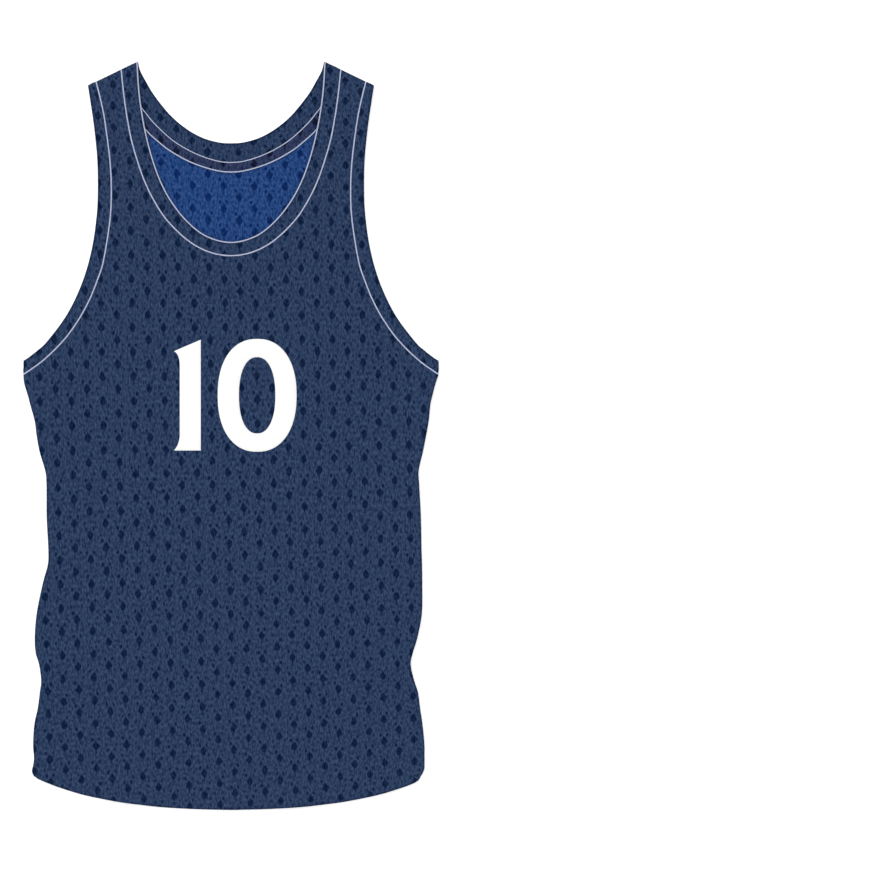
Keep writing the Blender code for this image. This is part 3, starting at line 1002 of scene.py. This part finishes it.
def sideEdge(side, topDown):
    # the panel's folded side, from the armhole to the hem, and the points round its fold
    bottom = sideCurve[-1, 0] - cloth["sideStop"]
    count = round((bottom - topDown) / cloth["edgeStep"])
    down = np.linspace(topDown, bottom, count + 1)[1:]
    out = sideOut(np.full(len(down), float(side)), down)

    def foldRow(angle):
        return np.column_stack((side * (out - foldInset(side * out, down, angle)), down))

    edge = foldRow(edgeInset / foldRadius(side * out, down))
    return edge, np.vstack([foldRow(angle) for angle in np.radians(cloth["foldAngles"])])


def shoulderEdge(side, start, end):
    # the same for a shoulder, between two points on its fold
    count = max(2, round(np.linalg.norm(end - start) / cloth["edgeStep"]))
    edge = start + (end - start) * np.linspace(0, 1, count + 1)[1:-1, None]
    inward = np.array((-shoulderRun[1] * side, shoulderRun[0]))
    base = edge - inward * shoulderInset(*edge.T)[:, None]
    return edge, np.vstack([base + inward * foldInset(*base.T, angle)[:, None]
                            for angle in np.radians(cloth["foldAngles"])])


def panelLoop(neckName):
    # once round a panel, and the points that its folds need
    neck = cutBack(offsetLine(neckLine(neckName), edgeInset), shoulderInset, shoulderInset)
    rightArm = cutBack(offsetLine(armholeLine("armholeSeam"), -edgeInset), shoulderInset, sideInset)
    neck, rightArm = respaced(neck, cloth["edgeStep"]), respaced(rightArm, cloth["edgeStep"])
    leftArm = mirroredLine(rightArm)
    leftSide, leftFold = sideEdge(1, leftArm[-1, 1])
    rightSide, rightFold = sideEdge(-1, rightArm[-1, 1])
    leftShoulder, leftTop = shoulderEdge(1, neck[-1], leftArm[0])
    rightShoulder, rightTop = shoulderEdge(-1, rightArm[0], neck[0])
    hemX = np.linspace(leftSide[-1, 0], rightSide[-1, 0], cloth["hemSamples"])
    hem = offsetLine(np.column_stack((hemX, hemDown(hemX))), halfWall)
    hem[:, 1] = np.minimum(hem[:, 1], hemDown(hem[:, 0]) - halfWall)
    hem = respaced(hem, cloth["edgeStep"])
    loop = np.vstack((neck, leftShoulder, leftArm, leftSide, hem[1:-1], rightSide[::-1],
                      rightArm[::-1], rightShoulder))
    sewn = np.vstack((neck, leftArm, rightArm, hem))
    folds = np.vstack((leftFold, rightFold, leftTop, rightTop))
    folds = folds[insideLoops(folds, [loop])]
    return loop, folds[nearest(folds, sewn)[0] > cloth["foldClear"]]


def makePanel(name):
    panel = panels[name]
    layer = panel["layer"]
    loop, folds = panelLoop(panel["neck"])
    outer = regionSkin([loop], folds, *panel["outer"], layer)
    inner = regionSkin([loop], folds, *panel["inner"], layer)
    outer["lift"] = outerHalf(outer["normals"]) + knitRelief(outer, layer)
    if layer > 0:                # the back is pressed flat by what lies on it
        armSeam = armholeLine("armholeSeam")
        seams = [neckLine(panel["neck"]), armSeam, mirroredLine(armSeam)]
        outer["lift"] = outer["lift"] + seamPuckers(outer["plan"], seams)
    inner["lift"] = halfWall - panel["innerRelief"] * knit["dropDepth"] * dropShape(*inner["plan"].T)
    sewPiece(name, panel["node"], outer, inner, [outsideKnit, insideKnit])


for name in panels:
    makePanel(name)

# bands
bands = {
    "step": 1.4,             # spacing of stations
    "columns": 9,
    "crown": 0.22,           # the folded band stands fuller between its seam and its edge
    "pucker": 0.09,
    "slant": 0.6,            # how far puckers lean
    "drift": (1.3, 31.0),    # how they wander, as for the panels
    "relief": 0.7,           # share of the panels' drop depth
    "neckbands": {
        # node, seam, edge, layer
        "frontNeckband": ("front_neckband", "frontNeckSeam", "frontNeckEdge", 1),
        "backNeckband": ("back_neckband", "backNeckSeam", "backNeckEdge", -1),
    },
    "armholeBands": {
        # node, side
        "armholeBandLeft": ("armhole_band_left", 1),
        "armholeBandRight": ("armhole_band_right", -1),
    },
}


def bandStations(line, startInset, endInset, angles, middleCount):
    # stations at the given angles round both folds, and evenly between
    stops = [alongAt(points, insetAt(*points.T), foldInset(*points[0], np.radians(angles)))
             for points, insetAt in ((line, startInset), (line[::-1], endInset))]
    along = runLength(line)
    start, end = stops[0], along[-1] - stops[1][::-1]
    middle = np.linspace(start[-1], end[0], middleCount + 2)[1:-1]
    return pointsAt(line, along, np.concatenate((start, middle, end)))


def makeBand(name, node, lines, layers, closed):
    # with a crown and small puckers that fade out towards both edges
    skin = stripSkin(*lines, layers, bands["columns"], closed)
    x, down = skin["plan"].T
    drift, driftLength = bands["drift"]
    turns = (down + bands["slant"] * x) / lie["puckerLength"]
    wave = np.sin(2 * math.pi * turns + drift * np.sin(x / driftLength))
    crown = np.sin(math.pi * skin["share"]) * (bands["crown"] + bands["pucker"] * wave)
    rising = 1 + np.minimum(0, skin["normals"][:, 2])    # none where it lies on the floor
    skin["lift"] = (outerHalf(skin["normals"]) + crown * rising
                    - bands["relief"] * knit["dropDepth"] * dropShape(x, down))
    inner = dict(skin, lift=np.full(len(x), halfWall))
    sewPiece(name, node, skin, inner, [outsideKnit])


def makeNeckband(name):
    node, seamName, edgeName, layer = bands["neckbands"][name]
    seam = offsetLine(neckLine(seamName), -edgeInset)
    edge = offsetLine(neckLine(edgeName), halfWall)
    first = math.degrees(edgeInset / foldRadius(*edge[0]))
    angles = [first, *(angle for angle in cloth["foldAngles"] if angle > first + cloth["leastTurn"])]
    count = round(runLength(seam)[-1] / bands["step"])
    lines = [bandStations(line, shoulderInset, shoulderInset, angles, count) for line in (seam, edge)]
    makeBand(name, node, lines, np.full(len(lines[0]), layer), False)


def armholeRing(line, side, count):
    # both layers' stations as one ring, with its layers
    stations = bandStations(line, shoulderInset, sideInset, cloth["bandAngles"], count)
    ring = np.vstack((stations, stations[-2:0:-1]))
    layers = np.ones(len(ring))
    layers[len(stations):] = -1
    return mirroredLine(ring) if side > 0 else ring, layers


def makeArmholeBand(name):
    node, side = bands["armholeBands"][name]
    seam = offsetLine(armholeLine("armholeSeam"), edgeInset)
    edge = offsetLine(armholeLine("armholeEdge"), -halfWall)
    count = round(runLength(seam)[-1] / bands["step"])
    (seamRing, layers), (edgeRing, layers) = (armholeRing(line, side, count) for line in (seam, edge))
    makeBand(name, node, (seamRing, edgeRing), layers, True)


for name in bands["neckbands"]:
    makeNeckband(name)
for name in bands["armholeBands"]:
    makeArmholeBand(name)

# neck tape
tape = {
    "wall": 1.0,
    "endInset": 4.5,         # it stops this far from the shoulder's fold
    "seamGap": 0.3,
    "columns": 6,
    "step": 1.6,
}


def makeTape():
    wall = tape["wall"]
    low = offsetLine(neckLine("tapeEdge"), -wall / 2)
    high = offsetLine(neckLine("backNeckSeam"), tape["seamGap"] + wall / 2)
    count = round(runLength(low)[-1] / tape["step"])
    lines = []
    for line in (low, high):
        line = cutBack(line, shoulderInset, shoulderInset, tape["endInset"] + wall / 2)
        along = runLength(line)
        lines.append(pointsAt(line, along, np.linspace(0, along[-1], count)))
    skin = stripSkin(*lines, np.full(count, -1.0), tape["columns"], False)
    skin["points"][:, 2] = cloth["wall"] + cloth["layGap"] + wall / 2
    skin["normals"][:] = (0, 0, 1)
    skin["lift"] = np.full(len(skin["points"]), wall / 2)
    skin["rimHalf"] = wall / 2
    skin["inset"][:] = cloth["turnedReach"]      # no edge of the garment, so no painted edge shade
    sewPiece("backNeckTape", "back_neck_tape", skin, skin, [tapeCloth])


makeTape()
print("bands and tape done")

# seam threads
thread = {
    "halfWidth": 0.84,
    "halfHeight": 0.45,
    "pitch": 2.6,            # length of one stitch
    "pinch": 0.16,           # how much thinner it is where stitches meet
    "perStitch": 6,
    "sides": 8,
    "step": 1.3,             # spacing of points along a thread's line
    "nearStep": 0.3,         # to the line beside it that shows the cloth's slope
    "ringLift": (0.25, 0.10),    # off the wall's middle line, and more on the front
    # along the necklines: line, layer, lift off the wall or level above the floor, how far below
    # the line, half width, half height, and how far from the shoulder's fold it ends
    "neckLines": {
        "frontNeckThread": ("frontNeckSeam", 1, 0.35, None, 0.1, 0.84, 0.45, None),
        "frontEdgeThread": ("frontNeckEdge", 1, 0.30, None, 0.25, 0.75, 0.60, None),
        "backNeckThread": ("backNeckSeam", -1, 0.15, None, 0.0, 1.0, 0.45, None),
        "insideNeckThread": ("backNeckSeam", -1, None, 1.95, 0.4, 0.85, 0.55, 6.0),
        "tapeThread": ("tapeEdge", -1, None, 2.35, -0.25, 0.70, 0.45, 6.0),
    },
}


def sewThread(name, path, out, closed, halfWidth, halfHeight):
    # a chain of stitches along the path, as one flattened tube
    if closed:
        path, out = np.vstack((path, path[:1])), np.vstack((out, out[:1]))
    along = runLength(path)
    stitches = round(along[-1] / thread["pitch"])
    wanted = np.linspace(0, along[-1], stitches * thread["perStitch"] + 1)
    if closed:
        wanted = wanted[:-1]
    centre, out = pointsAt(path, along, wanted), pointsAt(out, along, wanted)
    side, out = unit(np.cross(direction(centre, closed), out)), unit(out)
    phase = wanted / along[-1] * stitches
    full = 1 - thread["pinch"] * abs(np.cos(math.pi * phase)) ** 3
    total, sides = len(centre), thread["sides"]
    turn = 2 * math.pi * np.arange(sides)[:, None] / sides
    rings = side[:, None] * halfWidth * np.cos(turn) + out[:, None] * halfHeight * np.sin(turn)
    points = (centre[:, None] + full[:, None, None] * rings).reshape(-1, 3)
    index = np.arange(total * sides).reshape(total, sides)
    faces = gridFaces(index, closed, wrapped=True).tolist()
    if not closed:
        faces += [index[0].tolist(), index[-1].tolist()]
    piece = addPiece(name, points, faces, [whiteThread], [0] * len(faces),
                     stitch=(np.repeat(phase, sides), np.tile(np.arange(sides) / sides, total)))


def ringThread(name, side):
    # round the whole armhole, over both folds
    seam = armholeLine("armholeSeam")
    count = round(runLength(seam)[-1] / thread["step"])
    rows = []
    for line in (seam, offsetLine(seam, thread["nearStep"])):
        ring, layers = armholeRing(line, side, count)
        rows.append(placed(*ring.T, layerMiddle(*ring.T, layers)))
    points, near = rows
    out = unit(np.cross(direction(points, True), near - points))
    out *= np.sign(out[len(out) // 4, 2])
    lift, frontLift = thread["ringLift"]
    sewThread(name, points + out * (lift + frontLift * out[:, 2:]), out, True,
              thread["halfWidth"], thread["halfHeight"])


def neckThread(name):
    # along a neck line, from shoulder to shoulder
    lineName, layer, lift, level, below, halfWidth, halfHeight, ends = thread["neckLines"][name]
    line = cutBack(offsetLine(neckLine(lineName), below), shoulderInset, shoulderInset, ends)
    line = respaced(line, thread["step"])
    if level is None:
        out = layerNormal(*line.T, layer)
        points = placed(*line.T, layerMiddle(*line.T, layer)) + out * lift
    else:
        out = np.tile((0.0, 0.0, 1.0), (len(line), 1))
        points = placed(*line.T, np.full(len(line), level))
    sewThread(name, points, out, False, halfWidth, halfHeight)


for name, side in (("armholeThreadLeft", 1), ("armholeThreadRight", -1)):
    ringThread(name, side)
for name in thread["neckLines"]:
    neckThread(name)
print("threads sewn")


# number film
def makeNumber(name, digitLoops, layer):
    outer = regionSkin(digitLoops, [], *numerals["fineness"], layer)
    x, down = outer["plan"].T
    half = numerals["film"] / 2
    base = outerHalf(outer["normals"]) - numerals["pressed"] * knit["dropDepth"] * dropShape(x, down)
    outer["points"] = outer["points"] + outer["normals"] * (base + half)[:, None]
    outer["lift"] = np.full(len(x), half)
    outer["rimHalf"] = half
    piece = sewShell(name, outer, outer, [whiteFilm], (90,))


for prefix, layer in (("front", 1), ("back", -1)):
    one, zero, bowl = numberLoops[layer]
    makeNumber(prefix + "One", [one], layer)
    makeNumber(prefix + "Zero", [zero, bowl], layer)
print("numbers pressed on")

# the cut of what shows: each sheet's width and length are worked out, and nothing is done with them
sheets = {
    # line along a strip and times round it, what the piece rests on, what is sewn or pressed on it
    "frontPanel": (None, 1, ["backPanel"], ["frontOne", "frontZero", "frontNeckThread"]),
    "backPanel": (None, 1, [], ["backOne", "backZero", "backNeckThread"]),
    "frontNeckband": ("frontNeckSeam", 1, ["backPanel"], ["frontEdgeThread"]),
    "backNeckband": ("backNeckSeam", 1, [], []),
    "backNeckTape": ("tapeEdge", 1, ["backPanel"], ["insideNeckThread", "tapeThread"]),
    "armholeBandLeft": ("armholeSeam", 2, [], ["armholeThreadLeft"]),
    "armholeBandRight": ("armholeSeam", 2, [], ["armholeThreadRight"]),
}


def declareSheet(name):
    lineName, turns, restsOn, sewnOn = sheets[name]
    area = areas[name.replace("Left", "Right")]      # both armhole bands are cut alike
    if lineName is None:
        width, length = 2 * outline["armholeEdge"][-1][0] * mm, cloth["length"] * mm
    else:
        line = armholeLine(lineName) if lineName.startswith("armhole") else neckLine(lineName)
        length = runLength(line)[-1] * mm * turns
        width = max(area / length, cloth["leastWidth"] * mm)


for name in sheets:
    declareSheet(name)

# camera, light and floor
studio = {
    "view": 0.8694,          # metres across the frame
    "cameraAt": (0.20388, 0.00125, 2.0),
    "sky": 0.90,
    "lampPower": 325.0,
    "lampAt": (-4.0, 4.0, 8.0),
    "lampSize": 5.0,
    "backdrop": 1.2,         # brightness of the sky where the camera sees it
    "floorColour": (0.96, 0.96, 0.96, 1.0),
    "floorGlow": 0.4,
    "floorReach": 3.0,
    "floorDrop": 0.05,       # millimetres under the garment
}


def makeFloor():
    # solid where it is seen from above, and clear from below and to the light, so that the
    # underside can be looked at
    material, tree, shader = newMaterial(
        "paleFloor", Roughness=0.9, Specular_IOR_Level=0.1, Base_Color=studio["floorColour"],
        Emission_Color=studio["floorColour"], Emission_Strength=studio["floorGlow"])
    clear = newNode(tree, "ShaderNodeBsdfTransparent")
    facing = newNode(tree, "ShaderNodeNewGeometry").outputs["Backfacing"]
    seen = newNode(tree, "ShaderNodeLightPath").outputs["Is Camera Ray"]
    solid = calc(tree, "MULTIPLY", seen, calc(tree, "SUBTRACT", 1.0, facing))
    mix = newNode(tree, "ShaderNodeMixShader")
    feed(tree, mix.inputs, (solid, clear.outputs[0], shader.outputs[0]))
    tree.links.new(mix.outputs[0], tree.nodes["Material Output"].inputs[0])
    mesh = bpy.data.meshes.new("floor")
    reach = studio["floorReach"]
    mesh.from_pydata([(-reach, -reach, 0), (reach, -reach, 0), (reach, reach, 0), (-reach, reach, 0)],
                     [], [(0, 1, 2, 3)])
    mesh.materials.append(material)
    addObject("floor", mesh, (0, 0, -studio["floorDrop"] * mm))


def makeStudio():
    scene = bpy.context.scene
    scene.view_settings.view_transform = "Standard"
    scene.world = bpy.data.worlds.new("studio")
    scene.world.use_nodes = True
    tree = scene.world.node_tree
    seen = newNode(tree, "ShaderNodeLightPath").outputs["Is Camera Ray"]
    strength = calc(tree, "MULTIPLY_ADD", seen, studio["backdrop"] - studio["sky"], studio["sky"])
    plug(tree, tree.nodes["Background"], Color=(1, 1, 1, 1), Strength=strength)
    lamp = bpy.data.lights.new("softLamp", "AREA")
    lamp.energy = studio["lampPower"]
    lamp.size = studio["lampSize"]
    lampObject = addObject("softLamp", lamp, studio["lampAt"])
    lampObject.rotation_euler = (-Vector(studio["lampAt"])).to_track_quat("-Z", "Y").to_euler()
    camera = bpy.data.cameras.new("camera")
    camera.type = "ORTHO"
    camera.ortho_scale = studio["view"]
    scene.camera = addObject("camera", camera, studio["cameraAt"])


makeFloor()
makeStudio()
print("studio ready")
